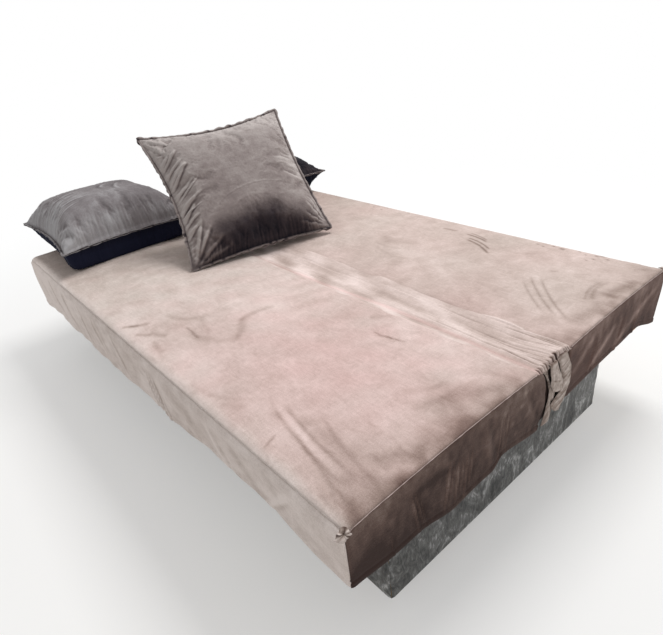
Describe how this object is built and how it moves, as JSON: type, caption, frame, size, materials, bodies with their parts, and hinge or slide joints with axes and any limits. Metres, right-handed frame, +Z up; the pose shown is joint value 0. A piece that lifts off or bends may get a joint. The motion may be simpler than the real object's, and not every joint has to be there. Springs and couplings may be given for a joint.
{
  "type": "sofa bed",
  "caption": "Armless click-clack sofa bed laid flat under a velvet slipcover, on a low upholstered box base, with scatter cushions.",
  "frame": {"origin": "on the floor under the centre foot, in the middle of the flat bed", "axes": "+X along the bed towards its free end, -Y towards the seat's front edge, +Z up"},
  "size_m": [2.0431, 1.3103, 0.8427],
  "materials": {
    "slipcover_velvet": "matte",
    "cushion_velvet": "matte",
    "crushed_velvet": "satin",
    "foam": "matte",
    "fibre_filling": "matte",
    "frame_timber": "matte",
    "beech": "satin",
    "board": "matte",
    "black_steel": "satin",
    "zinc_steel": "satin",
    "foot_chrome": "polished"
  },
  "bodies": {
    "base": {"base_front_board": "board", "base_rear_board": "board", "base_left_board": "board", "base_right_board": "board", "base_centre_board": "board", "base_bottom_panel": "board", "base_front_velvet": "crushed_velvet", "base_rear_velvet": "crushed_velvet", "base_left_velvet": "crushed_velvet", "base_right_velvet": "crushed_velvet", "foot_front_left": "foot_chrome", "foot_front_right": "foot_chrome", "foot_rear_left": "foot_chrome", "foot_rear_right": "foot_chrome", "foot_centre": "foot_chrome", "foot_bolts": "zinc_steel", "seat_front_rail": "frame_timber", "seat_rear_rail": "frame_timber", "seat_left_rail": "frame_timber", "seat_right_rail": "frame_timber", "seat_slats": "beech", "seat_foam": "foam", "seat_cover_top": "slipcover_velvet", "seat_cover_front": "slipcover_velvet", "seat_cover_left": "slipcover_velvet", "seat_cover_right": "slipcover_velvet", "hinge_plate_left": "black_steel", "hinge_plate_right": "black_steel", "hinge_plate_screws": "zinc_steel", "pivot_pins": "zinc_steel", "pawl_pins": "zinc_steel"},
    "back": {"back_front_rail": "frame_timber", "back_rear_rail": "frame_timber", "back_left_rail": "frame_timber", "back_right_rail": "frame_timber", "back_slats": "beech", "back_foam": "foam", "back_cover_top": "slipcover_velvet", "back_cover_rear": "slipcover_velvet", "back_cover_left": "slipcover_velvet", "back_cover_right": "slipcover_velvet", "back_arm_left": "black_steel", "back_arm_right": "black_steel", "back_arm_screws": "zinc_steel", "hinge_band": "slipcover_velvet", "gusset_left": "slipcover_velvet", "gusset_right": "slipcover_velvet"},
    "left_pawl": {"pawl_left": "black_steel"},
    "right_pawl": {"pawl_right": "black_steel"},
    "front_pillow": {"front_pillow_top": "cushion_velvet", "front_pillow_underside": "cushion_velvet", "front_pillow_filling": "fibre_filling"},
    "rear_pillow": {"rear_pillow_top": "cushion_velvet", "rear_pillow_underside": "cushion_velvet", "rear_pillow_filling": "fibre_filling"},
    "leaning_cushion": {"leaning_cushion_top": "cushion_velvet", "leaning_cushion_underside": "cushion_velvet", "leaning_cushion_filling": "fibre_filling"}
  },
  "joints": [
    {"name": "back_tilt", "type": "hinge", "parent": "base", "child": "back", "pos_m": [0, 0.02, 0.327], "axis": [1, 0, 0], "range_deg": [0, 70], "deforming": ["hinge_band", "gusset_left", "gusset_right"]},
    {"name": "leaning_cushion_ride", "type": "hinge", "parent": "back", "child": "leaning_cushion", "pos_m": [0, 0.20766, 0.595], "axis": [1, 0, 0], "range_deg": [-71, 1]},
    {"name": "front_pillow_lift", "type": "slide", "parent": "base", "child": "front_pillow", "axis": [-0.7481, -0.4489, 0.4888], "range_m": [0, 0.6]},
    {"name": "rear_pillow_lift", "type": "slide", "parent": "back", "child": "rear_pillow", "axis": [-0.7493, 0.5495, 0.3696], "range_m": [0, 0.6]},
    {"name": "left_pawl_click", "type": "hinge", "parent": "base", "child": "left_pawl", "pos_m": [0, -0.014, 0.285], "axis": [1, 0, 0], "range_deg": [0, 10], "stiffness_Nm_per_rad": 0.05, "springref_deg": -20.05},
    {"name": "right_pawl_click", "type": "hinge", "parent": "base", "child": "right_pawl", "pos_m": [0, -0.014, 0.285], "axis": [1, 0, 0], "range_deg": [0, 10], "stiffness_Nm_per_rad": 0.05, "springref_deg": -20.05}
  ],
  "couplings": [
    {"joint": "leaning_cushion_ride", "follows": "back_tilt", "ratio": -1}
  ]
}
